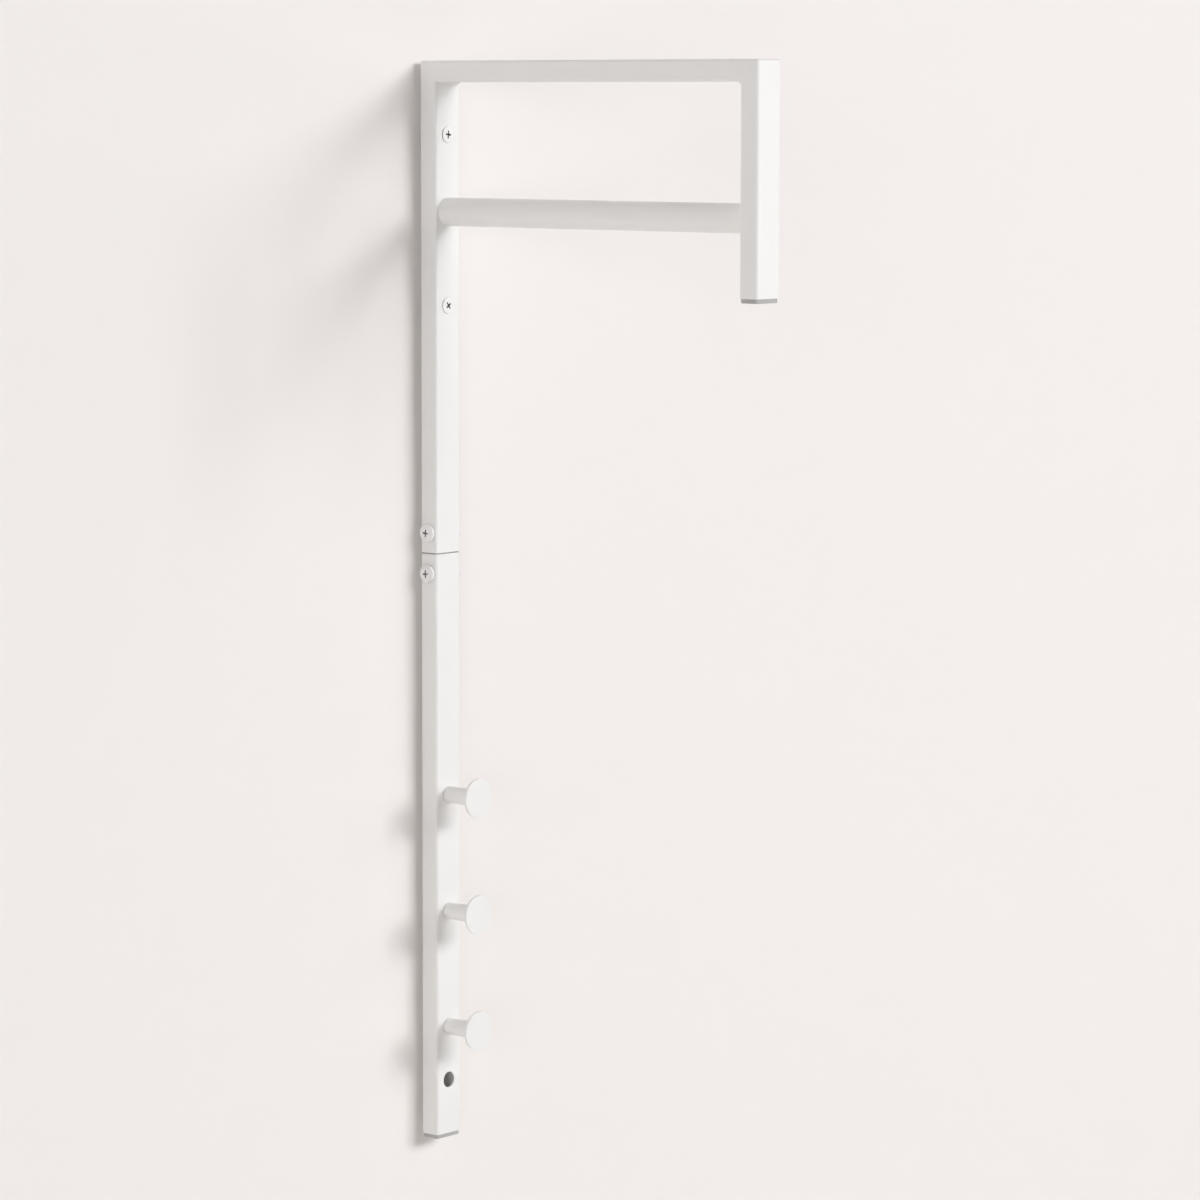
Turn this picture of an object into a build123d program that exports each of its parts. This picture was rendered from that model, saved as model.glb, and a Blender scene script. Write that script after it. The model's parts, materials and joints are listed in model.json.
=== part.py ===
from build123d import *
import os

# Wall coat rack. Millimetres, +Z up, origin on the wall plane at the height of the hanging rail.
# The wall is the plane y = 0, the rack stands out from it towards -Y, and x = 0 is its middle plane.

# Rectangular tube of the frame: width across the front, depth out from the wall
tube_w = 25.0
tube_d = 15.0
tube_wall = 1.5
tube_corner_r = 2.0

# Welded upper frame
reach = 300.0
rail_drop = 105.5
upper_length = 346.7
post_length = 158.5
corner_round = 2.0
weld_leg = 3.0
weld_throat = 1.6

# Round rail that the hangers go on
rail_d = 20.0
rail_wall = 1.5

# Lower bar, joined to the upper one by an inner sleeve
lower_length = 419.3
joint_gap = 0.4
sleeve_length = 64.0
sleeve_wall = 2.5
sleeve_corner_cut = 1.2
sleeve_clearance = 0.2

# Machine thread shared by the joint screws, the peg studs and their nuts
thread_d = 6.0
thread_clearance = 0.05
hole_clearance = 0.3

# Domed screws in both sides of the joint
joint_screw_offset = 14.5
joint_head_d = 12.4
joint_head_rim = 1.9
joint_head_height = 3.4
joint_head_flat_d = 6.4
joint_head_bulge = 0.64
joint_screw_length = 8.0

# Cross recess of all the screws
recess_width = 6.0
recess_wing = 1.5
recess_depth = 2.0

# Countersunk wall screws, the pressed seats that they sit in, and the plain hole near the lower end
wall_screw_drop = 51.5
wall_screw_pitch = 120.0
wall_head_d = 11.6
wall_head_land = 0.8
wall_neck_d = 5.2
wall_neck_past = 2.0
wall_thread_d = 6.0
wall_screw_length = 50.0
wall_tip_length = 7.0
seat_clearance = 0.1
seat_hole_d = 6.5
seat_lip = 0.8
lower_hole_rise = 39.0
lower_mouth_d = 11.4

# Pegs on the lower bar
peg_rise = 78.0
peg_pitch = 84.0
peg_stem_d = 12.0
peg_stem_length = 27.0
peg_disc_d = 28.0
peg_disc_t = 2.0
peg_edge_chamfer = 0.5
peg_base_chamfer = 0.5
peg_stud_length = 9.0

# Blind rivet nuts that the pegs screw into
nut_body_d = 9.0
nut_flange_d = 10.0
nut_flange_t = 0.5
nut_skirt_d = 12.0
nut_length = 10.5
nut_clearance = 0.1
nut_seat_clearance = 0.2

# Plastic plugs in the open tube ends
cap_t = 3.0
cap_inset = 0.5
cap_corner_r = 2.0
cap_edge_chamfer = 0.6
cap_core_wall = 1.4
cap_core_gap = 1.3
cap_core_length = 13.0
cap_fin_t = 1.0
cap_fin_first = 3.0
cap_fin_pitch = 3.5
cap_fin_count = 3
cap_fin_clearance = 0.1
cap_fin_corner_cut = 0.6

# Places that follow from the sizes above
top_z = rail_drop
joint_z = top_z - upper_length
lower_end_z = joint_z - lower_length
post_end_z = top_z - post_length
inner_w = tube_w - 2 * tube_wall
inner_d = tube_d - 2 * tube_wall
wall_screw_zs = [top_z - wall_screw_drop, top_z - wall_screw_drop - wall_screw_pitch]
lower_hole_z = lower_end_z + lower_hole_rise
peg_zs = [lower_end_z + peg_rise + step * peg_pitch for step in (2, 1, 0)]
peg_names = ["peg_top", "peg_middle", "peg_bottom"]
joint_screw_zs = [joint_z + joint_screw_offset, joint_z - joint_screw_offset]
sides = (-1, 1)
seat_mouth_r = wall_head_d / 2 + seat_clearance
thread_r = thread_d / 2
tapped_r = thread_r + thread_clearance

os.makedirs("parts", exist_ok=True)


def bar_plane(z):
    """Level plane at height z, centred in the section of the wall bar."""
    return Plane(origin=(0, -tube_d / 2, z), x_dir=(1, 0, 0), z_dir=(0, 0, 1))


def front_plane(z):
    """Plane on the bar's front face at height z, facing away from the wall."""
    return Plane(origin=(0, -tube_d, z), x_dir=(1, 0, 0), z_dir=(0, -1, 0))


def back_plane(z):
    """Plane on the bar's back face at height z, facing the wall."""
    return Plane(origin=(0, 0, z), x_dir=(1, 0, 0), z_dir=(0, 1, 0))


def side_plane(z, side):
    """Plane on the bar's left (side -1) or right (side 1) face at height z, facing out of it."""
    return Plane(origin=(side * tube_w / 2, -tube_d / 2, z), x_dir=(0, side, 0), z_dir=(side, 0, 0))


def front_section(z):
    """Plane through the axis of something turned on the front face: x is its radius, y points out."""
    return Plane(origin=(0, -tube_d, z), x_dir=(1, 0, 0), z_dir=(0, 0, -1))


def side_section(z, side):
    """Plane through the axis of a side screw: x is its radius, y points out of the bar's side face."""
    return Plane(origin=(side * tube_w / 2, -tube_d / 2, z), x_dir=(0, 0, 1), z_dir=(0, side, 0))


def tube_ring():
    """The rectangular tube's ring, in the sketch that is open."""
    RectangleRounded(tube_w, tube_d, tube_corner_r)
    Rectangle(inner_w, inner_d, mode=Mode.SUBTRACT)


def turned(plane, points):
    """Turn a closed outline of radius and height about the plane's y axis, in the part that is open."""
    with BuildSketch(plane) as outline:
        with BuildLine():
            Polyline(*points, close=True)
        make_face()
    revolve(outline.sketch, axis=Axis(plane.origin, plane.y_dir))


def cross_recess(plane):
    """Sink a cross recess into a screw head, from a plane at the top of the head."""
    with BuildSketch(plane) as cross:
        Rectangle(recess_width, recess_wing)
        Rectangle(recess_wing, recess_width)
    extrude(cross.sketch, amount=-recess_depth, mode=Mode.SUBTRACT)


def wall_hole(plane, diameter):
    """Drill a round hole through the one tube wall that the plane lies on."""
    with BuildSketch(plane) as hole:
        Circle(diameter / 2)
    extrude(hole.sketch, amount=-tube_wall, mode=Mode.SUBTRACT)


def wall_seat(z):
    """Press a conical screw seat into the front wall and drill the back wall behind it."""
    hole_r = seat_hole_d / 2
    cone_end = seat_mouth_r - hole_r
    lip_end = cone_end + seat_lip
    back_line = seat_mouth_r + tube_wall * 2 ** 0.5
    root_r = back_line - tube_wall
    wall_hole(front_plane(z), 2 * root_r)
    turned(
        front_section(z),
        [
            (seat_mouth_r, 0),
            (hole_r, -cone_end),
            (hole_r, -lip_end),
            (back_line - lip_end, -lip_end),
            (root_r, -tube_wall),
            (root_r, 0),
        ],
    )
    wall_hole(back_plane(z), seat_hole_d)


def side_holes(z):
    """Drill the clearance holes of a pair of joint screws through both side walls."""
    for side in sides:
        wall_hole(side_plane(z, side), thread_d + 2 * hole_clearance)


def round_corner(y, side):
    """Round the outer corner of a mitre at depth y. Side is +1 where the frame ends towards the wall."""
    centre = (y - side * corner_round, top_z - corner_round)
    toward = Align.MIN if side > 0 else Align.MAX
    with BuildSketch(Plane.YZ) as nib:
        with Locations(centre):
            Rectangle(corner_round, corner_round, align=(toward, Align.MIN))
            Circle(corner_round, mode=Mode.SUBTRACT)
    extrude(nib.sketch, amount=tube_w, both=True, mode=Mode.SUBTRACT)


def weld_bead(y, side):
    """Lay a weld into the inner corner under the arm at depth y, towards +Y where side is +1."""
    under = top_z - tube_d
    hollow = weld_throat / 2 ** 0.5
    with BuildSketch(Plane.YZ) as bead:
        with BuildLine():
            Polyline((y + side * weld_leg, under), (y, under), (y, under - weld_leg))
            ThreePointArc(
                (y, under - weld_leg),
                (y + side * hollow, under - hollow),
                (y + side * weld_leg, under),
            )
        make_face()
    extrude(bead.sketch, amount=tube_w / 2 - tube_corner_r, both=True)


def end_cap(origin):
    """Plug for an open tube end at the origin, closing it from below."""
    level = Plane(origin=origin, x_dir=(1, 0, 0), z_dir=(0, 0, 1))
    core_w = inner_w - 2 * cap_core_gap
    core_d = inner_d - 2 * cap_core_gap
    with BuildSketch(level) as flange:
        RectangleRounded(tube_w - 2 * cap_inset, tube_d - 2 * cap_inset, cap_corner_r)
    extrude(flange.sketch, amount=-cap_t)
    chamfer(faces().sort_by(Axis.Z)[0].edges(), length=cap_edge_chamfer)
    with BuildSketch(level) as core:
        Rectangle(core_w, core_d)
        Rectangle(core_w - 2 * cap_core_wall, core_d - 2 * cap_core_wall, mode=Mode.SUBTRACT)
    extrude(core.sketch, amount=cap_core_length)
    for step in range(cap_fin_count):
        with BuildSketch(level.offset(cap_fin_first + step * cap_fin_pitch)) as fin:
            Rectangle(inner_w - 2 * cap_fin_clearance, inner_d - 2 * cap_fin_clearance)
            chamfer(fin.vertices(), length=cap_fin_corner_cut)
            Rectangle(core_w - 2 * cap_core_wall, core_d - 2 * cap_core_wall, mode=Mode.SUBTRACT)
        extrude(fin.sketch, amount=cap_fin_t)


wall_mitre = Plane(origin=(0, 0, top_z), x_dir=(1, 0, 0), z_dir=(0, 1, -1))
post_mitre = Plane(origin=(0, -reach, top_z), x_dir=(1, 0, 0), z_dir=(0, 1, 1))

# Upper wall bar, mitred at the top
with BuildPart() as upper_wall_bar:
    with BuildSketch(bar_plane(joint_z + joint_gap / 2)):
        tube_ring()
    extrude(amount=upper_length - joint_gap / 2)
    split(bisect_by=wall_mitre, keep=Keep.TOP)
    round_corner(0, 1)
    for seat_z in wall_screw_zs:
        wall_seat(seat_z)
    side_holes(joint_screw_zs[0])

# Top arm, mitred at both ends, with the welds of its two inner corners
with BuildPart() as top_arm:
    with BuildSketch(Plane(origin=(0, 0, top_z - tube_d / 2), x_dir=(1, 0, 0), z_dir=(0, -1, 0))):
        tube_ring()
    extrude(amount=reach)
    split(bisect_by=wall_mitre, keep=Keep.BOTTOM)
    split(bisect_by=post_mitre, keep=Keep.TOP)
    round_corner(0, 1)
    round_corner(-reach, -1)
    weld_bead(-tube_d, -1)
    weld_bead(-reach + tube_d, 1)

# Front post, mitred at the top and open below
with BuildPart() as front_post:
    with BuildSketch(Plane(origin=(0, -reach + tube_d / 2, post_end_z), x_dir=(1, 0, 0), z_dir=(0, 0, 1))):
        tube_ring()
    extrude(amount=post_length)
    split(bisect_by=post_mitre, keep=Keep.BOTTOM)
    round_corner(-reach, -1)

# Round rail, butted between the bar and the post
with BuildPart() as hanging_rail:
    with BuildSketch(front_plane(0)):
        Circle(rail_d / 2)
        Circle(rail_d / 2 - rail_wall, mode=Mode.SUBTRACT)
    extrude(amount=reach - 2 * tube_d)

# Lower wall bar, with the holes of the peg nuts and a hole for one more wall screw, whose head goes
# through the front wall and holds the back wall
with BuildPart() as lower_wall_bar:
    with BuildSketch(bar_plane(lower_end_z)):
        tube_ring()
    extrude(amount=lower_length - joint_gap / 2)
    wall_hole(front_plane(lower_hole_z), lower_mouth_d)
    wall_hole(back_plane(lower_hole_z), seat_hole_d)
    side_holes(joint_screw_zs[1])
    for peg_z in peg_zs:
        wall_hole(front_plane(peg_z), nut_body_d)

# Thick sleeve inside the two bars, tapped for the joint screws
with BuildPart() as joint_sleeve:
    sleeve_w = inner_w - 2 * sleeve_clearance
    sleeve_d = inner_d - 2 * sleeve_clearance
    with BuildSketch(bar_plane(joint_z - sleeve_length / 2)):
        chamfer(Rectangle(sleeve_w, sleeve_d).vertices(), length=sleeve_corner_cut)
        Rectangle(sleeve_w - 2 * sleeve_wall, sleeve_d - 2 * sleeve_wall, mode=Mode.SUBTRACT)
    extrude(amount=sleeve_length)
    for screw_z in joint_screw_zs:
        for side in sides:
            with BuildSketch(side_plane(screw_z, side).offset(-tube_wall - sleeve_clearance)):
                Circle(tapped_r)
            extrude(amount=-sleeve_w / 2, mode=Mode.SUBTRACT)

# Domed joint screws
with BuildPart() as joint_screws:
    head_r = joint_head_d / 2
    flat_r = joint_head_flat_d / 2
    dome_mid_r = (head_r + flat_r) / 2
    dome_mid_h = joint_head_rim + joint_head_bulge * (joint_head_height - joint_head_rim)
    for screw_z in joint_screw_zs:
        for side in sides:
            section = side_section(screw_z, side)
            with BuildSketch(section):
                with BuildLine():
                    Polyline(
                        (flat_r, joint_head_height),
                        (0, joint_head_height),
                        (0, -joint_screw_length),
                        (thread_r, -joint_screw_length),
                        (thread_r, 0),
                        (head_r, 0),
                        (head_r, joint_head_rim),
                    )
                    ThreePointArc(
                        (head_r, joint_head_rim),
                        (dome_mid_r, dome_mid_h),
                        (flat_r, joint_head_height),
                    )
                make_face()
            revolve(axis=Axis(section.origin, section.y_dir))
            cross_recess(side_plane(screw_z, side).offset(joint_head_height))

# Wall screws: head a little proud of its seat, neck through the bar, thread behind the wall plane
with BuildPart() as wall_screws:
    head_r = wall_head_d / 2
    neck_r = wall_neck_d / 2
    neck_end = tube_d + wall_neck_past
    for seat_z in wall_screw_zs:
        turned(
            front_section(seat_z),
            [
                (0, wall_head_land),
                (0, -wall_screw_length),
                (wall_thread_d / 2, wall_tip_length - wall_screw_length),
                (wall_thread_d / 2, -neck_end),
                (neck_r, -neck_end),
                (neck_r, neck_r - head_r),
                (head_r, 0),
                (head_r, wall_head_land),
            ],
        )
        cross_recess(front_plane(seat_z).offset(wall_head_land))


def turned_peg(z):
    """Turned peg: flat disc, round stem with a recess over the nut's flange, and a threaded stud."""
    stem_r = peg_stem_d / 2
    disc_r = peg_disc_d / 2
    recess_r = nut_flange_d / 2 + nut_seat_clearance
    recess_h = nut_flange_t + nut_seat_clearance
    front = peg_stem_length + peg_disc_t
    section = front_section(z)
    with BuildSketch(section) as outline:
        with BuildLine():
            Polyline(
                (0, front),
                (0, -peg_stud_length),
                (thread_r, -peg_stud_length),
                (thread_r, recess_h),
                (recess_r, recess_h),
                (recess_r, 0),
                (stem_r - peg_base_chamfer, 0),
                (stem_r, peg_base_chamfer),
                (stem_r, peg_stem_length),
                (disc_r, peg_stem_length),
                (disc_r, front),
                close=True,
            )
        make_face()
        chamfer(outline.vertices().sort_by(Axis.X)[-2:], length=peg_edge_chamfer)
    revolve(outline.sketch, axis=Axis(section.origin, section.y_dir))


# Pegs, one node each
pegs = []
for peg_z in peg_zs:
    with BuildPart() as peg:
        turned_peg(peg_z)
    pegs.append(peg)

# Rivet nuts, set in the front wall of the lower bar
with BuildPart() as peg_rivet_nuts:
    nut_r = nut_body_d / 2 - nut_clearance
    for peg_z in peg_zs:
        turned(
            front_section(peg_z),
            [
                (tapped_r, nut_flange_t),
                (nut_flange_d / 2, nut_flange_t),
                (nut_flange_d / 2, 0),
                (nut_r, 0),
                (nut_r, -tube_wall),
                (nut_skirt_d / 2, -tube_wall),
                (nut_r, -nut_length),
                (tapped_r, -nut_length),
            ],
        )

# Plastic caps in the two open tube ends
with BuildPart() as bar_end_cap:
    end_cap((0, -tube_d / 2, lower_end_z))

with BuildPart() as post_end_cap:
    end_cap((0, -reach + tube_d / 2, post_end_z))

nodes = {
    "upper_wall_bar": upper_wall_bar,
    "top_arm": top_arm,
    "front_post": front_post,
    "hanging_rail": hanging_rail,
    "lower_wall_bar": lower_wall_bar,
    "joint_sleeve": joint_sleeve,
    "joint_screws": joint_screws,
    "wall_screws": wall_screws,
    "peg_rivet_nuts": peg_rivet_nuts,
    "bar_end_cap": bar_end_cap,
    "post_end_cap": post_end_cap,
}
nodes.update(zip(peg_names, pegs))

for name, piece in nodes.items():
    piece.part.label = name
    export_step(piece.part, f"parts/{name}.step")
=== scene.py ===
"""Finishes, small hardware and studio of a wall coat rack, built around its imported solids."""

import json
import logging
import math
from collections.abc import Callable, Iterator, Mapping, Sequence
from contextlib import contextmanager
from dataclasses import dataclass
from enum import Enum
from typing import Any, Union

import bmesh
import bpy
from mathutils import Matrix, Vector


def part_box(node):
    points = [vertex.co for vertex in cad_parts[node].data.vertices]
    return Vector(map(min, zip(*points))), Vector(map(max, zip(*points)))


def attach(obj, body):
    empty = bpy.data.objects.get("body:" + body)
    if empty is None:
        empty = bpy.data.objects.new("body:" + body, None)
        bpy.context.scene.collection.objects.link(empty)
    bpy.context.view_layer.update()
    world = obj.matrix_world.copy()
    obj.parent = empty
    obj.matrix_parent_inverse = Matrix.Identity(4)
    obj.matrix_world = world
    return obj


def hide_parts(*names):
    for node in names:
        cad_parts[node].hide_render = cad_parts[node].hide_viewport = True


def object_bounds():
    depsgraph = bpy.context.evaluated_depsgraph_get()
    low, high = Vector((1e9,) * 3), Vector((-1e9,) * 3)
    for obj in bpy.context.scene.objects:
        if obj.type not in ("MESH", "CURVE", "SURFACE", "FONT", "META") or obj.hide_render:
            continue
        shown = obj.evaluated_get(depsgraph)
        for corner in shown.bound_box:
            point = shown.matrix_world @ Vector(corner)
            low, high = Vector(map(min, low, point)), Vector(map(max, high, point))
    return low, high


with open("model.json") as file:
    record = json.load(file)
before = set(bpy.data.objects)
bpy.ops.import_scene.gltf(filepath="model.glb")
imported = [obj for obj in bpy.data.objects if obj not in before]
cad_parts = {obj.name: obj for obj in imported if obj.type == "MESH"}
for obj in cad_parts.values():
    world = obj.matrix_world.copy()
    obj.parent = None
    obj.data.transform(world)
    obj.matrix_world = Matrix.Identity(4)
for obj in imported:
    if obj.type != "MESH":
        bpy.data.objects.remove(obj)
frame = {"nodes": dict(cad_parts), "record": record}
CAD_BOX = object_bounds()

MM = 0.001
BODY = "root"
SMOOTH_ANGLE = math.radians(32.0)
NEAR = 0.01 * MM
FACING = 0.9
NOISE_MIDDLE = 0.5

# Numbers of a Mix node's sockets for colours, whose names repeat.
MIX_FACTOR, MIX_FIRST, MIX_SECOND, MIX_RESULT = 0, 6, 7, 2

# Places of a screw's materials after its paint.
RECESS_INDEX, SHANK_INDEX = 1, 2

Colour = tuple[float, float, float]
Place = tuple[float, float, float]
Ring = tuple[float, float]
Value = Union["Socket", float]
Tint = Union["Socket", Colour]

log = logging.getLogger("coat_rack")


class Slot(Enum):
    """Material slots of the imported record."""

    WHITE_COAT = "white_coat"
    WHITE_SCREW = "white_screw"
    GREY_CAP = "grey_cap"
    ZINC = "zinc"

    def colour(self) -> Colour:
        """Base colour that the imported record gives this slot."""
        rows = {row["slot"]: row["base_color"] for row in frame["record"]["materials"]}
        return tuple(rows[self.value])


class Side(Enum):
    """The two side faces of the wall bar."""

    LEFT = -1
    RIGHT = 1


class Socket:
    """An output of a shader node that takes part in Python arithmetic."""

    def __init__(self, shader: "Shader", output: bpy.types.NodeSocket | None) -> None:
        """Wrap one output of a node of that shader."""
        self.shader = shader
        self.output = output

    def _maths(self, operation: str, first: Value, second: Value) -> "Socket":
        """Add a Math node for two values."""
        return self.shader.node("ShaderNodeMath", {"operation": operation}, {0: first, 1: second})

    def __add__(self, other: Value) -> "Socket":
        """Sum."""
        return self._maths("ADD", self, other)

    def __radd__(self, other: Value) -> "Socket":
        """Sum with a number on the left."""
        return self._maths("ADD", other, self)

    def __sub__(self, other: Value) -> "Socket":
        """Difference."""
        return self._maths("SUBTRACT", self, other)

    def __rsub__(self, other: Value) -> "Socket":
        """Difference with a number on the left."""
        return self._maths("SUBTRACT", other, self)

    def __mul__(self, other: Value) -> "Socket":
        """Product."""
        return self._maths("MULTIPLY", self, other)

    def __rmul__(self, other: Value) -> "Socket":
        """Product with a number on the left."""
        return self._maths("MULTIPLY", other, self)

    def __abs__(self) -> "Socket":
        """Size without its sign."""
        return self._maths("ABSOLUTE", self, 0.0)

    def at_most(self, other: Value) -> "Socket":
        """The smaller of two values."""
        return self._maths("MINIMUM", self, other)

    def at_least(self, other: Value) -> "Socket":
        """The larger of two values."""
        return self._maths("MAXIMUM", self, other)


@dataclass(frozen=True)
class Noise:
    """One layer of soft noise: width of a spot in metres, octaves, and strength of the finer ones."""

    size: float
    octaves: float = 2.0
    strength: float = 0.5


def shade(colour: Colour, factor: float) -> Colour:
    """The same colour, lighter or darker."""
    return tuple(min(1.0, channel * factor) for channel in colour)


class Shader:
    """A node tree under construction, of a material or of the world."""

    def __init__(self, tree: bpy.types.NodeTree) -> None:
        """Start from an empty tree."""
        self.tree = tree
        self.tree.nodes.clear()

    def node(
        self,
        kind: str,
        settings: Mapping[str, Any] | None = None,
        inputs: Mapping[str | int, Any] | None = None,
        output: str | int = 0,
    ) -> Socket:
        """Add one node.

        Args:
            kind: Node type.
            settings: Properties of the node.
            inputs: Value or link of each socket, by name or number.
            output: Name or number of the output that is returned.

        Returns:
            The chosen output, wrapped, which is empty for a node that has none.
        """
        made = self.tree.nodes.new(kind)
        for name, value in (settings or {}).items():
            setattr(made, name, value)
        for name, value in (inputs or {}).items():
            if isinstance(value, Socket):
                self.tree.links.new(value.output, made.inputs[name])
            else:
                made.inputs[name].default_value = value
        return Socket(self, made.outputs[output] if made.outputs else None)

    def place(self) -> Socket:
        """Object coordinates, which are the coordinates of the shared frame."""
        return self.node("ShaderNodeTexCoord", output="Object")

    def noise(self, layer: Noise) -> Socket:
        """Soft noise between 0 and 1.

        Args:
            layer: Size and make-up of the noise.

        Returns:
            The noise value.
        """
        inputs = {
            "Vector": self.place(),
            "Scale": 1.0 / layer.size,
            "Detail": layer.octaves,
            "Roughness": layer.strength,
        }
        return self.node("ShaderNodeTexNoise", inputs=inputs, output="Fac")

    def blend(self, factor: Socket, first: Tint, second: Colour) -> Socket:
        """Colour between two colours.

        Args:
            factor: Share of the second colour.
            first: Colour at zero.
            second: Colour at one.

        Returns:
            The mixed colour.
        """
        start = first if isinstance(first, Socket) else (*first, 1.0)
        inputs = {MIX_FACTOR: factor, MIX_FIRST: start, MIX_SECOND: (*second, 1.0)}
        return self.node("ShaderNodeMix", {"data_type": "RGBA"}, inputs, MIX_RESULT)

    def tones(self, factor: Socket, colour: Colour, spread: float) -> Socket:
        """Colour that runs from a little darker to a little lighter with a factor."""
        return self.blend(factor, shade(colour, 1.0 - spread), shade(colour, 1.0 + spread))

    def bump(self, height: Socket, depth: float) -> Socket:
        """Normal of a relief that is depth metres high."""
        inputs = {"Strength": 1.0, "Distance": depth, "Height": height}
        return self.node("ShaderNodeBump", inputs=inputs)

    def surface(self, shader: Socket) -> None:
        """Send a shader to the material's output."""
        self.node("ShaderNodeOutputMaterial", inputs={"Surface": shader})

    def principled(self, inputs: Mapping[str, Any]) -> None:
        """Make the material's surface a Principled shader with these inputs."""
        self.surface(self.node("ShaderNodeBsdfPrincipled", inputs=inputs))


def new_shader(name: str) -> tuple[bpy.types.Material, Shader]:
    """Make a material and the shader that fills it.

    Args:
        name: Name of the material.

    Returns:
        The material and its shader.
    """
    material = bpy.data.materials.new(name)
    material.use_nodes = True
    return material, Shader(material.node_tree)


@dataclass(frozen=True)
class PowderCoat:
    """Satin powder coat: faint orange peel, fine grain and slow drifts of tone and gloss.

    A coat with a seam gets painted shade in a narrow line at that height, where two tubes butt and shade
    falls into the gap between them.
    """

    name: str
    colour: Colour
    roughness: float = 0.46
    drift: Noise = Noise(70 * MM, octaves=3.0)
    peel: Noise = Noise(1.3 * MM)
    grain: Noise = Noise(0.35 * MM, octaves=1.0)
    tone_spread: float = 0.018
    drift_tone: float = 0.6
    peel_tone: float = 0.25
    grain_tone: float = 0.15
    drift_gloss: float = 0.14
    peel_gloss: float = 0.08
    relief: float = 0.016 * MM
    peel_relief: float = 0.75
    grain_relief: float = 0.25
    seam: float | None = None
    seam_core: float = 0.216 * MM
    seam_fade: float = 0.36 * MM
    seam_shade_tone: float = 0.28

    def _seam_shade_line(self, shader: Shader) -> Socket:
        """Strength of the painted shade line at the seam.

        Args:
            shader: Shader that gets the nodes.

        Returns:
            One at the seam, falling to zero beside it.
        """
        height = shader.node("ShaderNodeSeparateXYZ", inputs={"Vector": shader.place()}, output="Z")
        reach = (self.seam_core + self.seam_fade) / self.seam_fade
        return (reach - abs(height - self.seam) * (1.0 / self.seam_fade)).at_least(0.0).at_most(1.0)

    def material(self) -> bpy.types.Material:
        """Build the finish.

        Returns:
            The material.
        """
        material, shader = new_shader(self.name)
        drift, peel, grain = (shader.noise(layer) for layer in (self.drift, self.peel, self.grain))
        mottle = self.drift_tone * drift + self.peel_tone * peel + self.grain_tone * grain
        colour = shader.tones(mottle, self.colour, self.tone_spread)
        if self.seam is not None:
            # Painted shade: the coat darkens beside the joint gap, where shade falls between the butting
            # tubes.
            colour = shader.blend(self._seam_shade_line(shader), colour, shade(self.colour, self.seam_shade_tone))
        gloss = self.drift_gloss * (drift - NOISE_MIDDLE) + self.peel_gloss * (peel - NOISE_MIDDLE)
        inputs = {
            "Base Color": colour,
            "Roughness": self.roughness + gloss,
            "Normal": shader.bump(self.peel_relief * peel + self.grain_relief * grain, self.relief),
        }
        shader.principled(inputs)
        return material


@dataclass(frozen=True)
class MouldedPlastic:
    """Moulded plastic with the fine spark texture of its mould."""

    name: str
    colour: Colour
    roughness: float = 0.55
    cloud: Noise = Noise(6 * MM, octaves=3.0)
    spark: Noise = Noise(0.3 * MM, strength=0.6)
    tone_spread: float = 0.05
    cloud_tone: float = 0.5
    spark_tone: float = 0.5
    spark_gloss: float = 0.2
    relief: float = 0.025 * MM

    def material(self) -> bpy.types.Material:
        """Build the finish.

        Returns:
            The material.
        """
        material, shader = new_shader(self.name)
        cloud, spark = shader.noise(self.cloud), shader.noise(self.spark)
        mottle = self.cloud_tone * cloud + self.spark_tone * spark
        inputs = {
            "Base Color": shader.tones(mottle, self.colour, self.tone_spread),
            "Roughness": self.roughness + self.spark_gloss * (spark - NOISE_MIDDLE),
            "Normal": shader.bump(spark, self.relief),
        }
        shader.principled(inputs)
        return material


@dataclass(frozen=True)
class ZincPlate:
    """Zinc-plated steel with a cloudy, slightly spangled sheen."""

    name: str
    colour: Colour
    roughness: float = 0.34
    cloud: Noise = Noise(4 * MM, octaves=4.0, strength=0.6)
    spangle_size: float = 1.6 * MM
    tone_spread: float = 0.16
    cloud_tone: float = 0.6
    spangle_tone: float = 0.5
    cloud_gloss: float = 0.3
    relief: float = 0.01 * MM

    def material(self) -> bpy.types.Material:
        """Build the finish.

        Returns:
            The material.
        """
        material, shader = new_shader(self.name)
        cloud = shader.noise(self.cloud)
        cells = {"Vector": shader.place(), "Scale": 1.0 / self.spangle_size}
        spangle = shader.node("ShaderNodeTexVoronoi", inputs=cells, output="Distance")
        mottle = self.cloud_tone * cloud + self.spangle_tone * spangle
        inputs = {
            "Base Color": shader.tones(mottle, self.colour, self.tone_spread),
            "Metallic": 1.0,
            "Roughness": self.roughness + self.cloud_gloss * (cloud - NOISE_MIDDLE),
            "Normal": shader.bump(spangle, self.relief),
        }
        shader.principled(inputs)
        return material


@dataclass(frozen=True)
class StagePaint:
    """Plain pale paint of the wall and the floor, clear when it is seen from behind."""

    name: str
    colour: Colour
    patch: Noise = Noise(0.5)
    tone_spread: float = 0.006

    def material(self) -> bpy.types.Material:
        """Build the finish.

        Returns:
            The material.
        """
        material, shader = new_shader(self.name)
        colour = shader.tones(shader.noise(self.patch), self.colour, self.tone_spread)
        paint = shader.node("ShaderNodeBsdfDiffuse", inputs={"Color": colour})
        clear = shader.node("ShaderNodeBsdfTransparent")
        behind = shader.node("ShaderNodeNewGeometry", output="Backfacing")
        shader.surface(shader.node("ShaderNodeMixShader", inputs={0: behind, 1: paint, 2: clear}))
        return material


def deselect() -> None:
    """Leave nothing selected."""
    bpy.ops.object.select_all(action="DESELECT")


def activate(piece: bpy.types.Object) -> None:
    """Select one object alone and make it the active one.

    Args:
        piece: Object to work on.
    """
    deselect()
    piece.select_set(True)
    bpy.context.view_layer.objects.active = piece


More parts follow.
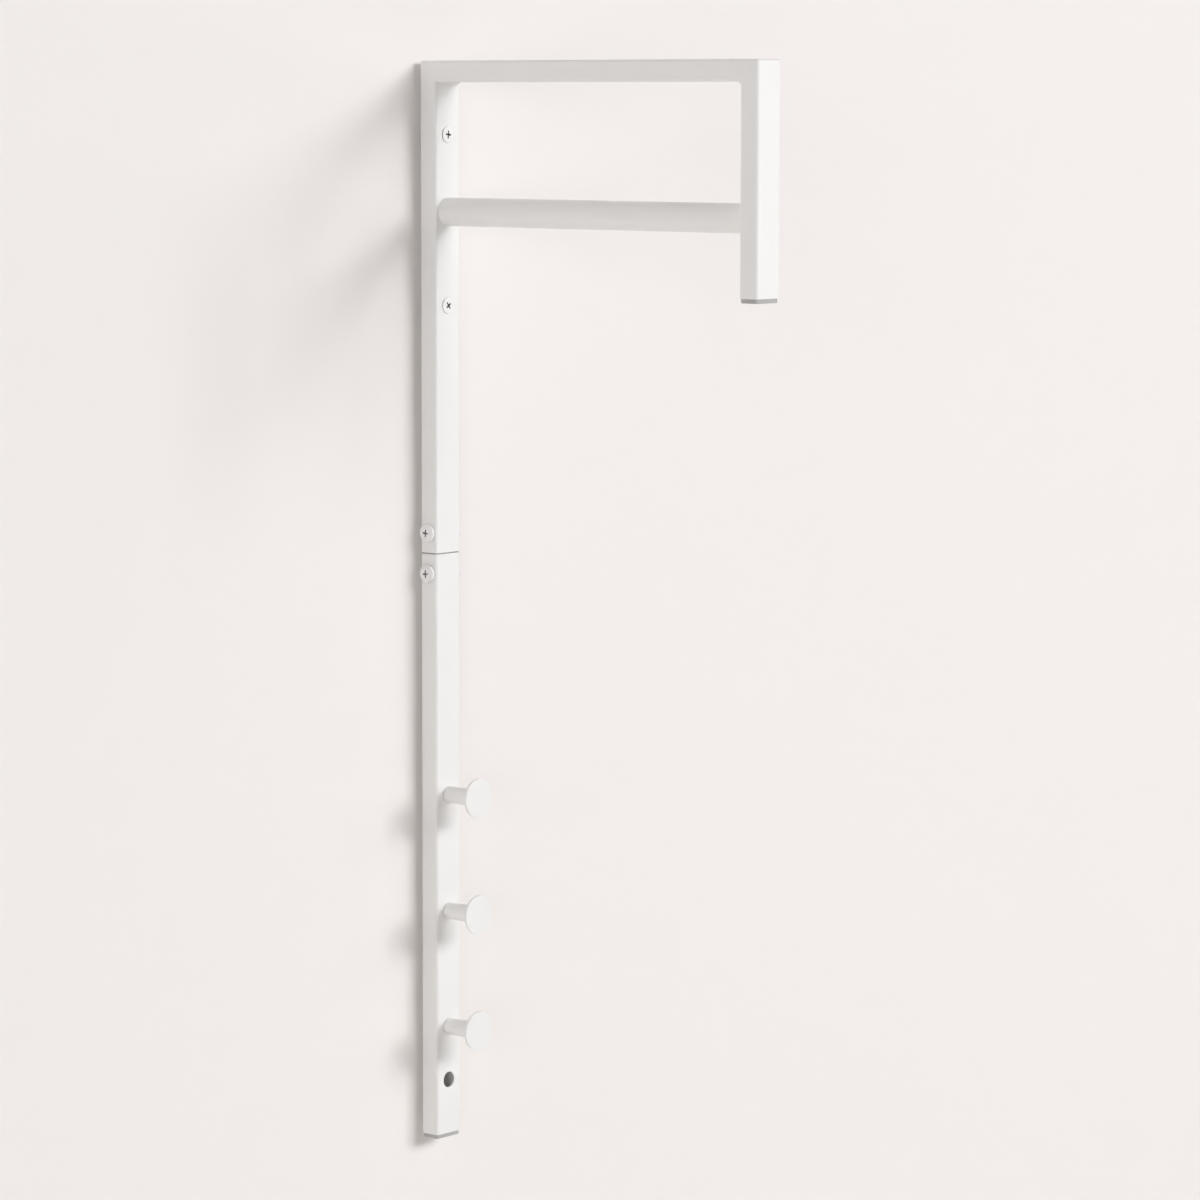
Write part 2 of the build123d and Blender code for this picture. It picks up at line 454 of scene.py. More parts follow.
@contextmanager
def editing(piece: bpy.types.Object) -> Iterator[None]:
    """Work on one piece in edit mode.

    Args:
        piece: Mesh object to edit.

    Yields:
        Nothing; the piece is in edit mode inside the block.
    """
    activate(piece)
    bpy.ops.object.mode_set(mode="EDIT")
    yield
    bpy.ops.object.mode_set(mode="OBJECT")


@contextmanager
def picking(kind: str) -> Iterator[bmesh.types.BMesh]:
    """Start a new selection in edit mode.

    Args:
        kind: FACE or EDGE.

    Yields:
        The mesh in edit mode, with nothing selected.
    """
    bpy.ops.mesh.select_mode(type=kind)
    bpy.ops.mesh.select_all(action="DESELECT")
    data = bpy.context.edit_object.data
    yield bmesh.from_edit_mesh(data)
    bmesh.update_edit_mesh(data)


def pick_faces(test: Callable[[Vector, Vector], bool]) -> None:
    """Select the faces that pass a test, and nothing else.

    Args:
        test: Takes a face's centre and normal.
    """
    with picking("FACE") as mesh:
        for face in mesh.faces:
            face.select_set(test(face.calc_center_median(), face.normal))


def pick_edges(test: Callable[[Vector, Vector], bool]) -> None:
    """Select the edges that pass a test, and nothing else.

    Args:
        test: Takes the places of an edge's two ends.
    """
    with picking("EDGE") as mesh:
        for edge in mesh.edges:
            edge.select_set(test(edge.verts[0].co, edge.verts[1].co))


def extrude(height: float) -> None:
    """Extrude the selected faces along Z."""
    bpy.ops.mesh.extrude_region_move(TRANSFORM_OT_translate={"value": (0.0, 0.0, height)})


def resize(x: float, y: float, centre: Vector) -> None:
    """Scale the selection level, about a centre."""
    bpy.ops.transform.resize(value=(x, y, 1.0), center_override=centre)


def apply_place() -> None:
    """Leave the active object's place, turn and scale in its mesh."""
    bpy.ops.object.transform_apply(location=True, rotation=True, scale=True)


def apply_modifier(piece: bpy.types.Object, kind: str, settings: Mapping[str, Any]) -> None:
    """Add a modifier to a piece and apply it.

    Args:
        piece: Mesh object.
        kind: Modifier type.
        settings: Properties of the modifier.
    """
    activate(piece)
    bpy.ops.object.modifier_add(type=kind)
    modifier = piece.modifiers[-1]
    for name, value in settings.items():
        setattr(modifier, name, value)
    bpy.ops.object.modifier_apply(modifier=modifier.name)


def arc(centre: Ring, radius: float, start: float, end: float, steps: int = 5) -> list[Ring]:
    """Points on a circle in a section of radius and height.

    Args:
        centre: Radius and height of the circle's centre.
        radius: Its radius.
        start: First angle in degrees, from the direction of growing radius.
        end: Last angle.
        steps: Number of pieces.

    Returns:
        The points, both ends included.
    """
    angles = [math.radians(start + (end - start) * step / steps) for step in range(steps + 1)]
    return [(centre[0] + radius * math.cos(a), centre[1] + radius * math.sin(a)) for a in angles]


def turned(name: str, rings: Sequence[Ring], sides: int = 96) -> bpy.types.Object:
    """Grow a turned piece from a disc, ring by ring, along Z.

    Args:
        name: Name of the piece.
        rings: Radius and height of each ring, from the lowest.
        sides: Corners of a ring.

    Returns:
        The piece, closed at both ends.
    """
    deselect()
    radius, height = rings[0]
    bpy.ops.mesh.primitive_circle_add(
        vertices=sides, radius=radius, fill_type="NGON", location=(0.0, 0.0, height)
    )
    piece = bpy.context.active_object
    piece.name = name
    apply_place()
    with editing(piece):
        bpy.ops.mesh.select_all(action="SELECT")
        for next_radius, next_height in rings[1:]:
            extrude(next_height - height)
            ratio = next_radius / radius
            resize(ratio, ratio, Vector((0.0, 0.0, next_height)))
            radius, height = next_radius, next_height
        bpy.ops.mesh.select_all(action="SELECT")
        bpy.ops.mesh.normals_make_consistent(inside=False)
    return piece


def smooth(piece: bpy.types.Object) -> None:
    """Shade a piece smooth between its sharp edges, with flat faces kept flat.

    Args:
        piece: Mesh object.
    """
    activate(piece)
    bpy.ops.object.shade_smooth_by_angle(angle=SMOOTH_ANGLE)
    apply_modifier(piece, "WEIGHTED_NORMAL", {"keep_sharp": True})


def put(piece: bpy.types.Object, place: Matrix) -> None:
    """Move a piece to its place and leave the place in its mesh.

    Args:
        piece: Mesh object.
        place: Where the piece goes.
    """
    activate(piece)
    piece.matrix_world = place
    apply_place()


def copy_of(piece: bpy.types.Object) -> bpy.types.Object:
    """Copy a piece, with a mesh of its own.

    Args:
        piece: Mesh object.

    Returns:
        The copy.
    """
    activate(piece)
    bpy.ops.object.duplicate(linked=False)
    return bpy.context.active_object


def joined(pieces: Sequence[bpy.types.Object], name: str) -> bpy.types.Object:
    """Join pieces into one object.

    Args:
        pieces: Mesh objects, of which the first takes in the others.
        name: Name of the whole.

    Returns:
        The whole.
    """
    activate(pieces[0])
    for piece in pieces:
        piece.select_set(True)
    bpy.ops.object.join()
    pieces[0].name = name
    return pieces[0]


def discard(piece: bpy.types.Object) -> None:
    """Delete a helper object."""
    bpy.data.objects.remove(piece)


def front_place(height: float, turn: float = 0.0) -> Matrix:
    """Place on the front face of the wall bar, with local Z out of the wall.

    Args:
        height: Height of the axis.
        turn: Turn about the axis in degrees.

    Returns:
        The place as a matrix.
    """
    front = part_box("lower_wall_bar")[0].y
    axes = Matrix(((1, 0, 0, 0), (0, 0, -1, front), (0, 1, 0, height), (0, 0, 0, 1)))
    return axes @ Matrix.Rotation(math.radians(turn), 4, "Z")


def side_place(side: Side, height: float, turn: float = 0.0) -> Matrix:
    """Place on a side face of the wall bar, with local Z out of that face.

    Args:
        side: Left or right face.
        height: Height of the axis.
        turn: Turn about the axis in degrees.

    Returns:
        The place as a matrix.
    """
    low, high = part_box("lower_wall_bar")
    way = side.value
    edge = high.x if side is Side.RIGHT else low.x
    middle = (low.y + high.y) / 2
    axes = Matrix(((0, 0, way, edge), (way, 0, 0, middle), (0, 1, 0, height), (0, 0, 0, 1)))
    return axes @ Matrix.Rotation(math.radians(turn), 4, "Z")


def fit(piece: bpy.types.Object, slot: Slot, *nodes: str) -> None:
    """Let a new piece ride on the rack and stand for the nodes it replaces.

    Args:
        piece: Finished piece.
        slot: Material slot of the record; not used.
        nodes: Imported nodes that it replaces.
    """
    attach(piece, BODY)
    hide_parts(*nodes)
    log.info("%s stands for %s, %d faces", piece.name, ", ".join(nodes), len(piece.data.polygons))


@dataclass
class Finishes:
    """All the finishes of the rack."""

    coat: bpy.types.Material
    bar_coat: bpy.types.Material
    screw: bpy.types.Material
    # recess and deep_recess: bare steel in the screw recesses, darkened as painted shade of the
    # recesses.
    recess: bpy.types.Material
    deep_recess: bpy.types.Material
    cap: bpy.types.Material
    zinc: bpy.types.Material

    @classmethod
    def mix(cls, joint_recess_shade: float = 0.55, wall_recess_shade: float = 0.2) -> "Finishes":
        """Make each finish from the record's colours.

        Args:
            joint_recess_shade: Tone of the joint screws' recesses as a share of the zinc's, bare steel
                darkened as painted shade.
            wall_recess_shade: The same for the wall screws' deeper recesses, darker still as deeper
                painted shade.

        Returns:
            The finishes.
        """
        white, zinc = Slot.WHITE_COAT.colour(), Slot.ZINC.colour()
        paint = Slot.WHITE_SCREW.colour()
        # Height of the bar joint, where the bars' coat gets a painted shade line.
        joint = (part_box("upper_wall_bar")[0].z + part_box("lower_wall_bar")[1].z) / 2
        # Painted shade: the recess steel is zinc darkened, and the wall screws' deeper recesses more.
        dull, dark = shade(zinc, joint_recess_shade), shade(zinc, wall_recess_shade)
        return cls(
            coat=PowderCoat("satin_white_powder_coat", white).material(),
            bar_coat=PowderCoat("jointed_bar_coat_painted_seam_shade", white, seam=joint).material(),
            screw=PowderCoat("white_screw_paint", paint, roughness=0.36, relief=0.01 * MM).material(),
            recess=ZincPlate("worn_steel_painted_recess_shade", dull, roughness=0.5).material(),
            deep_recess=ZincPlate("steel_painted_deep_recess_shade", dark, roughness=0.55).material(),
            cap=MouldedPlastic("grey_cap_plastic", Slot.GREY_CAP.colour()).material(),
            zinc=ZincPlate("zinc_plate", zinc).material(),
        )


@dataclass
class TubeFrame:
    """Welded tubes and hidden fittings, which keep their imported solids."""

    bars: tuple[str, ...] = ("upper_wall_bar", "lower_wall_bar")
    coated: tuple[str, ...] = ("top_arm", "front_post", "hanging_rail")
    plated: tuple[str, ...] = ("joint_sleeve", "peg_rivet_nuts")

    def dress(self, finishes: Finishes) -> None:
        """Give each solid its finish.

        Args:
            finishes: Finishes of the rack.
        """
        groups = (
            (self.bars, finishes.bar_coat),
            (self.coated, finishes.coat),
            (self.plated, finishes.zinc),
        )
        for names, material in groups:
            for name in names:
                for slot in frame["nodes"][name].material_slots:
                    slot.material = material
                log.info("%s dressed in %s", name, material.name)


@dataclass
class Peg:
    """Turned peg: a flat disc on a round stem, with its stud and a narrow foot on the bar."""

    node: str
    stem_d: float = 12 * MM
    disc_t: float = 2 * MM
    rim_round: float = 0.35 * MM
    neck_round: float = 1.0 * MM
    foot_d: float = 10.9 * MM
    foot_h: float = 0.35 * MM
    base_round: float = 0.25 * MM
    seat_d: float = 10.4 * MM
    seat_h: float = 0.7 * MM
    stud_d: float = 6 * MM
    stud_chamfer: float = 0.6 * MM
    face_margin: float = 0.8 * MM

    def rings(self) -> list[Ring]:
        """Outline from the end of the stud to the face of the disc.

        Returns:
            Radius of each ring, and its height over the bar's front face.
        """
        low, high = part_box(self.node)
        bar_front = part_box("lower_wall_bar")[0].y
        front = bar_front - low.y
        stud_end = bar_front - high.y
        back = front - self.disc_t
        disc_r = (high.x - low.x) / 2
        stem_r, stud_r, seat_r, foot_r = (
            diameter / 2 for diameter in (self.stem_d, self.stud_d, self.seat_d, self.foot_d)
        )
        outline = [
            (stud_r - self.stud_chamfer, stud_end),
            (stud_r, stud_end + self.stud_chamfer),
            (stud_r, self.seat_h),
            (seat_r, self.seat_h),
            (seat_r, 0.0),
            (foot_r, 0.0),
            (foot_r, self.foot_h),
        ]
        base = self.foot_h + self.base_round
        outline += arc((stem_r - self.base_round, base), self.base_round, -90.0, 0.0)
        outline += arc((stem_r + self.neck_round, back - self.neck_round), self.neck_round, 180.0, 90.0)
        outline += arc((disc_r - self.rim_round, back + self.rim_round), self.rim_round, -90.0, 0.0)
        outline += arc((disc_r - self.rim_round, front - self.rim_round), self.rim_round, 0.0, 90.0)
        outline.append((disc_r - self.rim_round - self.face_margin, front))
        return outline

    def build(self, finishes: Finishes) -> None:
        """Model the peg at its place and dress it.

        Args:
            finishes: Finishes of the rack.
        """
        low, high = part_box(self.node)
        piece = turned(f"{self.node}_turned", self.rings())
        put(piece, front_place((low.z + high.z) / 2))
        smooth(piece)
        piece.data.materials.append(finishes.coat)
        fit(piece, Slot.WHITE_COAT, self.node)


@dataclass(frozen=True)
class CrossRecess:
    """Cross recess of a screw: two tapered wings sunk into the head."""

    width: float = 6.1 * MM
    wing: float = 1.3 * MM
    depth: float = 2.0 * MM
    floor_share: float = 0.68
    floor_wing_share: float = 0.85
    lip: float = 0.12 * MM

    def _wing_cutter(self, top: float, turn: float) -> bpy.types.Object:
        """Tapered bar that cuts one pair of wings.

        Args:
            top: Height of the head's top.
            turn: Turn about Z in radians.

        Returns:
            The cutter.
        """
        deselect()
        bpy.ops.mesh.primitive_cube_add(size=1.0, location=(0.0, 0.0, top))
        cutter = bpy.context.active_object
        cutter.scale = (self.width, self.wing, 2 * self.depth)
        cutter.rotation_euler.z = turn
        bpy.ops.object.transform_apply(location=True, rotation=False, scale=True)
        with editing(cutter):
            pick_faces(lambda centre, normal: normal.z < -FACING)
            resize(self.floor_share, self.floor_wing_share, Vector((0.0, 0.0, top - self.depth)))
        return cutter

    def cut(self, piece: bpy.types.Object, top: float) -> None:
        """Sink the recess into a head.

        Args:
            piece: Screw on the Z axis.
            top: Height of the head's top.
        """
        for turn in (0.0, math.pi / 2):
            cutter = self._wing_cutter(top, turn)
            settings = {"operation": "DIFFERENCE", "solver": "EXACT", "object": cutter}
            apply_modifier(piece, "BOOLEAN", settings)
            discard(cutter)

    def colour(self, piece: bpy.types.Object, top: float) -> None:
        """Give the walls of the recess their own material: bare steel, darkened as painted shade in the
        recess.

        Args:
            piece: Screw on the Z axis, with its materials.
            top: Height of the head's top.
        """
        reach = self.width / 2 + self.lip
        for face in piece.data.polygons:
            centre = face.center
            inside = math.hypot(centre.x, centre.y) < reach
            if inside and top - self.depth - self.lip < centre.z < top - self.lip:
                face.material_index = RECESS_INDEX


@dataclass
class JointScrews:
    """Domed screws in both sides of the bar joint."""

    node: str = "joint_screws"
    rim: float = 2.3 * MM
    flat_d: float = 6.5 * MM
    bow: float = 0.17 * MM
    collar_d: float = 10.2 * MM
    collar_h: float = 0.6 * MM
    thread_d: float = 6 * MM
    length: float = 8 * MM
    end_chamfer: float = 0.6 * MM
    edge_round: float = 0.2 * MM
    edge_steps: int = 3
    dome_steps: int = 10
    recess: CrossRecess = CrossRecess(width=5.8 * MM, wing=1.15 * MM)
    turns: tuple[float, ...] = (-4.0, 5.0, 31.0, 52.0)

    def _head(self) -> tuple[float, float]:
        """Radius and height of the head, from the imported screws."""
        low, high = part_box(self.node)
        return (high.y - low.y) / 2, high.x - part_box("lower_wall_bar")[1].x

    def _dome(self, head_r: float, head_h: float) -> list[Ring]:
        """Bowed outline from the rim to the flat of the head.

        Args:
            head_r: Radius of the head.
            head_h: Height of its flat.

        Returns:
            The outline's rings.
        """
        flat_r = self.flat_d / 2
        points = []
        for step in range(self.dome_steps + 1):
            share = step / self.dome_steps
            lift = 4 * share * (1 - share) * self.bow
            height = self.rim + (head_h - self.rim) * share + lift
            points.append((head_r + (flat_r - head_r) * share, height))
        return points

    def _blank(self, finishes: Finishes) -> bpy.types.Object:
        """Model one screw on the Z axis, its head above the plane z = 0.

        Args:
            finishes: Finishes of the rack.

        Returns:
            The dressed screw.
        """
        head_r, head_h = self._head()
        thread_r, collar_r = self.thread_d / 2, self.collar_d / 2
        rings = [
            (thread_r - self.end_chamfer, -self.length),
            (thread_r, self.end_chamfer - self.length),
            (thread_r, 0.0),
            (collar_r, 0.0),
            (collar_r, self.collar_h),
        ]
        under = self.collar_h + self.edge_round
        rings += arc((head_r - self.edge_round, under), self.edge_round, -90.0, 0.0, self.edge_steps)
        rings += self._dome(head_r, head_h)
        screw = turned("joint_screw_blank", rings)
        self.recess.cut(screw, head_h)
        for material in (finishes.screw, finishes.recess):
            screw.data.materials.append(material)
        self.recess.colour(screw, head_h)
        return screw

    def build(self, finishes: Finishes) -> None:
        """Model the screws at their places.

        Args:
            finishes: Finishes of the rack.
        """
        low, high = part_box(self.node)
        head_r = self._head()[0]
        blank = self._blank(finishes)
        heights = (high.z - head_r, low.z + head_r)
        places = [(side, height) for side in Side for height in heights]
        screws = []
        for (side, height), turn in zip(places, self.turns):
            screw = copy_of(blank)
            put(screw, side_place(side, height, turn))
            screws.append(screw)
        discard(blank)
        piece = joined(screws, "joint_screws_domed")
        smooth(piece)
        fit(piece, Slot.WHITE_SCREW, self.node)


@dataclass
class WallScrews:
    """Countersunk wall screws with a coarse thread behind the wall plane.

    The thread's root ends and its crest starts and ends at shares of the pitch.
    """

    node: str = "wall_screws"
    neck_d: float = 5.2 * MM
    neck_past: float = 2 * MM
    core_d: float = 4.0 * MM
    thread_d: float = 6 * MM
    pitch: float = 2.6 * MM
    root_end: float = 0.5
    crest_start: float = 0.7
    crest_end: float = 0.8
    tip_length: float = 7 * MM
    tip_share: float = 0.06
    thread_steps: int = 28
    rim_round: float = 0.3 * MM
    face_margin: float = 0.3 * MM
    groove: float = 0.4 * MM
    recess: CrossRecess = CrossRecess()
    turns: tuple[float, ...] = (-6.0, 36.0)

    def _sizes(self) -> tuple[float, float, float]:
        """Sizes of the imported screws.

        Returns:
            Radius of the head, how far it stands proud, and the length below the bar's front.
        """
        low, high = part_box(self.node)
        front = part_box("upper_wall_bar")[0].y
        return (high.x - low.x) / 2, front - low.y, high.y - front

    def _thread_line(self) -> bpy.types.Object:
        """Draw one pitch of the thread's outline, starting below the origin by the tip's length.

        Returns:
            The outline, as a chain of edges.
        """
        core_r, crest_r = self.core_d / 2, self.thread_d / 2
        outline = (
            (core_r, 0.0),
            (core_r, self.root_end),
            (crest_r, self.crest_start),
            (crest_r, self.crest_end),
            (core_r, 1.0),
        )
        deselect()
        bpy.ops.mesh.primitive_plane_add(size=1.0)
        line = bpy.context.active_object
        with editing(line):
            bpy.ops.mesh.select_mode(type="VERT")
            bpy.ops.mesh.select_all(action="SELECT")
            bpy.ops.mesh.merge(type="CENTER")
            bpy.ops.transform.translate(value=(core_r, 0.0, -self.tip_length))
            for (radius, share), (next_radius, next_share) in zip(outline, outline[1:]):
                step = (next_radius - radius, 0.0, (next_share - share) * self.pitch)
                bpy.ops.mesh.extrude_region_move(TRANSFORM_OT_translate={"value": step})
        return line

    def _thread(self, start: float, end: float) -> bpy.types.Object:
        """Helical thread from the neck down to the point.

        Args:
            start: Height where the thread starts.
            end: Height of the point.

        Returns:
            The closed, threaded core.
        """
        piece = self._thread_line()
        turns = int((start - end) / self.pitch) - 1
        helix = {
            "axis": "Z",
            "angle": 2 * math.pi,
            "screw_offset": self.pitch,
            "iterations": turns,
            "steps": self.thread_steps,
            "render_steps": self.thread_steps,
        }
        apply_modifier(piece, "SCREW", helix)
        with editing(piece):
            bpy.ops.mesh.select_all(action="SELECT")
            bpy.ops.mesh.remove_doubles(threshold=NEAR)
            bpy.ops.mesh.fill_holes(sides=0)
            bpy.ops.mesh.select_all(action="SELECT")
            bpy.ops.mesh.normals_make_consistent(inside=False)
        taper = {
            "deform_method": "TAPER",
            "deform_axis": "Z",
            "factor": 1.0 - self.tip_share,
            "limits": (0.0, self.tip_length / ((turns + 1) * self.pitch)),
        }
        apply_modifier(piece, "SIMPLE_DEFORM", taper)
        put(piece, Matrix.Translation((0.0, 0.0, end + self.tip_length)))
        return piece

    def _blank(self, finishes: Finishes) -> bpy.types.Object:
        """Model one screw on the Z axis, the bar's front face being z = 0.

        Args:
            finishes: Finishes of the rack.

        Returns:
            The dressed screw.
        """
        head_r, proud, length = self._sizes()
        neck_r, core_r = self.neck_d / 2, self.core_d / 2
        head_end = neck_r - head_r
        bar_low, bar_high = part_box("upper_wall_bar")
        neck_end = bar_low.y - bar_high.y - self.neck_past
        rings = [
            (core_r, neck_end - 2 * self.pitch),
            (core_r, neck_end - self.pitch),
            (neck_r, neck_end),
            (neck_r, head_end),
            (head_r - self.groove, -self.groove),
            (head_r - self.groove, 0.0),
            (head_r, self.groove),
        ]
        rings += arc((head_r - self.rim_round, proud - self.rim_round), self.rim_round, 0.0, 90.0)
        rings.append((head_r - self.rim_round - self.face_margin, proud))
        screw = turned("wall_screw_blank", rings)
        self.recess.cut(screw, proud)
        thread = self._thread(neck_end, -length)
        for material in (finishes.screw, finishes.deep_recess, finishes.zinc):
            screw.data.materials.append(material)
        self.recess.colour(screw, proud)
        for face in screw.data.polygons:
            if face.center.z < head_end:
                face.material_index = SHANK_INDEX
        thread.data.materials.append(finishes.zinc)
        return joined([screw, thread], "wall_screw_blank")

    def build(self, finishes: Finishes) -> None:
        """Model the screws at their places.

        Args:
            finishes: Finishes of the rack.
        """
        low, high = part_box(self.node)
        head_r = self._sizes()[0]
        blank = self._blank(finishes)
        screws = []
        for height, turn in zip((high.z - head_r, low.z + head_r), self.turns):
            screw = copy_of(blank)
            put(screw, front_place(height, turn))
            screws.append(screw)
        discard(blank)
        piece = joined(screws, "wall_screws_threaded")
        smooth(piece)
        fit(piece, Slot.WHITE_SCREW, self.node)


@dataclass
class EndCap:
    """Plastic plug in an open tube end: rounded flange, hollow core and gripping fins."""

    node: str
    tube: str
    corner_r: float = 2 * MM
    corner_steps: int = 6
    edge_round: float = 0.7 * MM
    edge_steps: int = 4
    core_gap: float = 2.8 * MM
    core_wall: float = 1.4 * MM
    fin_first: float = 3 * MM
    fin_pitch: float = 3.5 * MM
    fin_t: float = 1 * MM
    fin_count: int = 3
    fin_gap: float = 1.6 * MM

    def build(self, finishes: Finishes) -> None:
        """Model the plug at its place and dress it.

        Args:
            finishes: Finishes of the rack.
        """
        low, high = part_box(self.node)
        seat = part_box(self.tube)[0].z
        size = high - low
        centre = (low + high) / 2
        deselect()
        bpy.ops.mesh.primitive_cube_add(size=1.0)
        piece = bpy.context.active_object
        piece.name = f"{self.node}_plug"
        piece.scale = (size.x, size.y, seat - low.z)
        piece.location = (centre.x, centre.y, (seat + low.z) / 2)
        apply_place()
        with editing(piece):
            self._round_flange(low.z, seat)
            self._raise_core(centre, seat, high.z, size)
        smooth(piece)
        piece.data.materials.append(finishes.cap)
        fit(piece, Slot.GREY_CAP, self.node)

    def _round_flange(self, bottom: float, top: float) -> None:
        """Round the upright corners and the lower rim of the flange.

        Args:
            bottom: Height of the flange's underside.
            top: Height of its top.
        """
        tall = (top - bottom) / 2
        pick_edges(lambda a, b: abs(a.z - b.z) > tall)
        bpy.ops.mesh.bevel(offset=self.corner_r, segments=self.corner_steps, affect="EDGES")
        pick_edges(lambda a, b: max(abs(a.z - bottom), abs(b.z - bottom)) < NEAR)
        bpy.ops.mesh.bevel(offset=self.edge_round, segments=self.edge_steps, affect="EDGES")

    def _raise_core(self, centre: Vector, seat: float, top: float, size: Vector) -> None:
        """Grow the core with its fins out of the flange's top face, then hollow it.

        Args:
            centre: Middle of the plug.
            seat: Height of the flange's top.
            top: Height of the core's end.
            size: Width and depth of the flange.
        """
        core, fin, hollow = (
            Vector((size.x - 2 * gap, size.y - 2 * gap, 0.0))
            for gap in (self.core_gap, self.fin_gap, self.core_gap + self.core_wall)
        )

        def step(old: Vector, new: Vector, height: float) -> None:
            """Draw the growing end in or out at one height."""
            extrude(0.0)
            resize(new.x / old.x, new.y / old.y, Vector((centre.x, centre.y, height)))

        pick_faces(lambda place, normal: normal.z > FACING and abs(place.z - seat) < NEAR)
        step(size, core, seat)
        height = seat
        for number in range(self.fin_count):
            start = seat + self.fin_first + number * self.fin_pitch
            extrude(start - height)
            step(core, fin, start)
            extrude(self.fin_t)
            height = start + self.fin_t
            step(fin, core, height)
        extrude(top - height)
        step(core, hollow, top)
        extrude(seat - top)


@dataclass(frozen=True)
class Lamp:
    """Soft rectangular lamp, placed and sized by the angles at which the rack sees it, in degrees."""

    name: str
    right: float
    above: float
    wide: float
    tall: float
    power: float
    colour: Colour = (0.985, 0.99, 1.01)
    distance: float = 6.0

    def _span(self, angle: float) -> float:
        """Length that fills an angle at the lamp's distance."""
        return 2 * self.distance * math.tan(math.radians(angle) / 2)

    def build(self, target: Vector) -> None:
        """Hang the lamp and aim it.

        Args:
            target: Place that the lamp points at.
        """
        right, above = math.radians(self.right), math.radians(self.above)
        level = math.cos(above)
        direction = Vector((math.sin(right) * level, -math.cos(right) * level, math.sin(above)))
        deselect()
        bpy.ops.object.light_add(type="AREA", location=target + self.distance * direction)
        lamp = bpy.context.active_object
        lamp.name = self.name
        lamp.data.shape = "RECTANGLE"
        lamp.data.size = self._span(self.wide)
        lamp.data.size_y = self._span(self.tall)
        lamp.data.energy = self.power
        lamp.data.color = self.colour
        lamp.rotation_euler = direction.to_track_quat("Z", "Y").to_euler()
        lamp.visible_camera = False


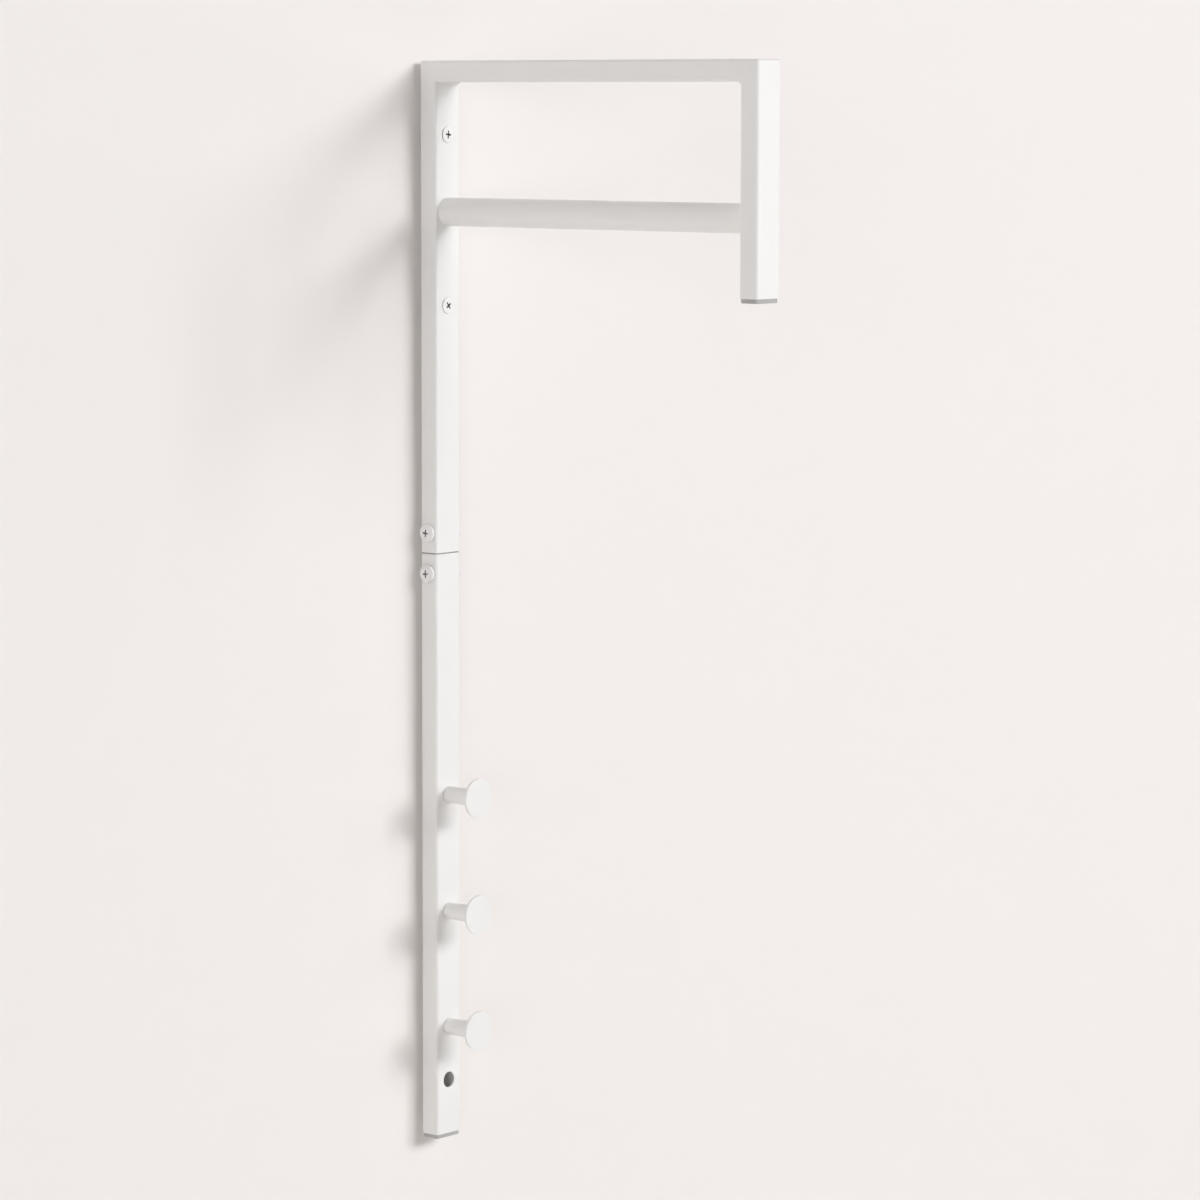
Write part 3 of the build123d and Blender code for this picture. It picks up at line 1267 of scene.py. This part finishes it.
@dataclass
class Studio:
    """Wall, floor, lamps and camera.

    The wall stands a little behind the bars, so that their shade on it is as wide as it should be.
    """

    wall_colour: Colour = (0.872, 0.834, 0.806)
    floor_colour: Colour = (0.86, 0.84, 0.82)
    wall_gap: float = 4.0 * MM
    wall_width: float = 8.0
    wall_height: float = 5.0
    floor_drop: float = 0.6
    ambient: float = 0.01
    ambient_colour: Colour = (1.0, 0.99, 0.975)
    backdrop_level: float = 0.9
    lamps: tuple[Lamp, ...] = (
        Lamp("outer_pane", 34.3, 20.0, 8.0, 15.0, 281.0, distance=14.0),
        Lamp("inner_pane", 23.3, 18.2, 8.0, 13.0, 215.0, distance=14.0),
        Lamp("pane_glow", 20.0, 22.0, 20.0, 22.0, 32.0),
        Lamp("front_glow", 9.0, 24.0, 16.0, 18.0, 56.5, distance=4.5),
        Lamp("right_glow", 50.0, 18.0, 30.0, 40.0, 72.0),
        Lamp("camera_fill", -56.0, 4.0, 22.0, 18.0, 72.0),
        Lamp("side_fill", -78.0, 32.0, 40.0, 50.0, 48.0),
        Lamp("back_light", 165.0, 6.0, 30.0, 30.0, 40.0),
    )
    camera_place: Place = (-2.373749, -2.129638, 0.076602)
    camera_yaw: float = 50.246795
    camera_pitch: float = 6.308920
    camera_roll: float = -0.128443
    camera_lens: float = 135.0
    camera_sensor: float = 36.0
    camera_range: float = 50.0

    def build(self) -> None:
        """Set up everything around the rack."""
        self._surfaces()
        self._world()
        middle = (CAD_BOX[0] + CAD_BOX[1]) / 2
        for lamp in self.lamps:
            lamp.build(middle)
        self._camera()
        bpy.context.scene.view_settings.view_transform = "Standard"
        log.info("studio ready")

    def _surfaces(self) -> None:
        """Pale wall behind the rack and pale floor below it."""
        deselect()
        wall_place = (0.0, self.wall_gap, 0.0)
        bpy.ops.mesh.primitive_plane_add(size=1.0, location=wall_place, rotation=(math.pi / 2, 0.0, 0.0))
        wall = bpy.context.active_object
        wall.name = "studio_wall"
        wall.scale = (self.wall_width, self.wall_height, 1.0)
        # The lamp behind the wall has to reach the back of the rack.
        wall.visible_shadow = False
        wall.data.materials.append(StagePaint("wall_paint", self.wall_colour).material())
        floor_place = (0.0, 0.0, CAD_BOX[0].z - self.floor_drop)
        bpy.ops.mesh.primitive_plane_add(size=self.wall_width, location=floor_place)
        floor = bpy.context.active_object
        floor.name = "studio_floor"
        floor.data.materials.append(StagePaint("floor_paint", self.floor_colour).material())

    def _world(self) -> None:
        """Even light from all round, with a pale backdrop for the eye and for reflections."""
        world = bpy.data.worlds.new("studio_light")
        world.use_nodes = True
        bpy.context.scene.world = world
        shader = Shader(world.node_tree)
        camera, glossy, clear = (
            shader.node("ShaderNodeLightPath", output=f"Is {kind} Ray")
            for kind in ("Camera", "Glossy", "Transmission")
        )
        seen = camera.at_least(glossy).at_least(clear)
        level = self.ambient + (self.backdrop_level - self.ambient) * seen
        inputs = {"Color": (*self.ambient_colour, 1.0), "Strength": level}
        light = shader.node("ShaderNodeBackground", inputs=inputs)
        shader.node("ShaderNodeOutputWorld", inputs={"Surface": light})

    def _camera(self) -> None:
        """Camera at the photograph's viewing angle."""
        yaw, pitch, roll = (
            math.radians(angle) for angle in (self.camera_yaw, self.camera_pitch, self.camera_roll)
        )
        level = math.cos(pitch)
        ahead = Vector((math.sin(yaw) * level, math.cos(yaw) * level, -math.sin(pitch)))
        level_right = Vector((math.cos(yaw), -math.sin(yaw), 0.0))
        level_down = ahead.cross(level_right)
        right = math.cos(roll) * level_right + math.sin(roll) * level_down
        down = -math.sin(roll) * level_right + math.cos(roll) * level_down
        axes = Matrix((right, -down, -ahead)).transposed().to_4x4()
        bpy.ops.object.camera_add()
        camera = bpy.context.active_object
        camera.name = "photo_camera"
        camera.matrix_world = Matrix.Translation(Vector(self.camera_place)) @ axes
        camera.data.sensor_width = self.camera_sensor
        camera.data.lens = self.camera_lens
        camera.data.clip_end = self.camera_range
        bpy.context.scene.camera = camera


def main() -> None:
    """Dress the solids, model the small hardware and set up the studio."""
    logging.basicConfig(level=logging.INFO, format="%(name)s: %(message)s")
    finishes = Finishes.mix()
    TubeFrame().dress(finishes)
    for node in ("peg_top", "peg_middle", "peg_bottom"):
        Peg(node).build(finishes)
    JointScrews().build(finishes)
    WallScrews().build(finishes)
    EndCap("bar_end_cap", "lower_wall_bar").build(finishes)
    EndCap("post_end_cap", "front_post").build(finishes)
    Studio().build()


if __name__ == "__main__":
    main()
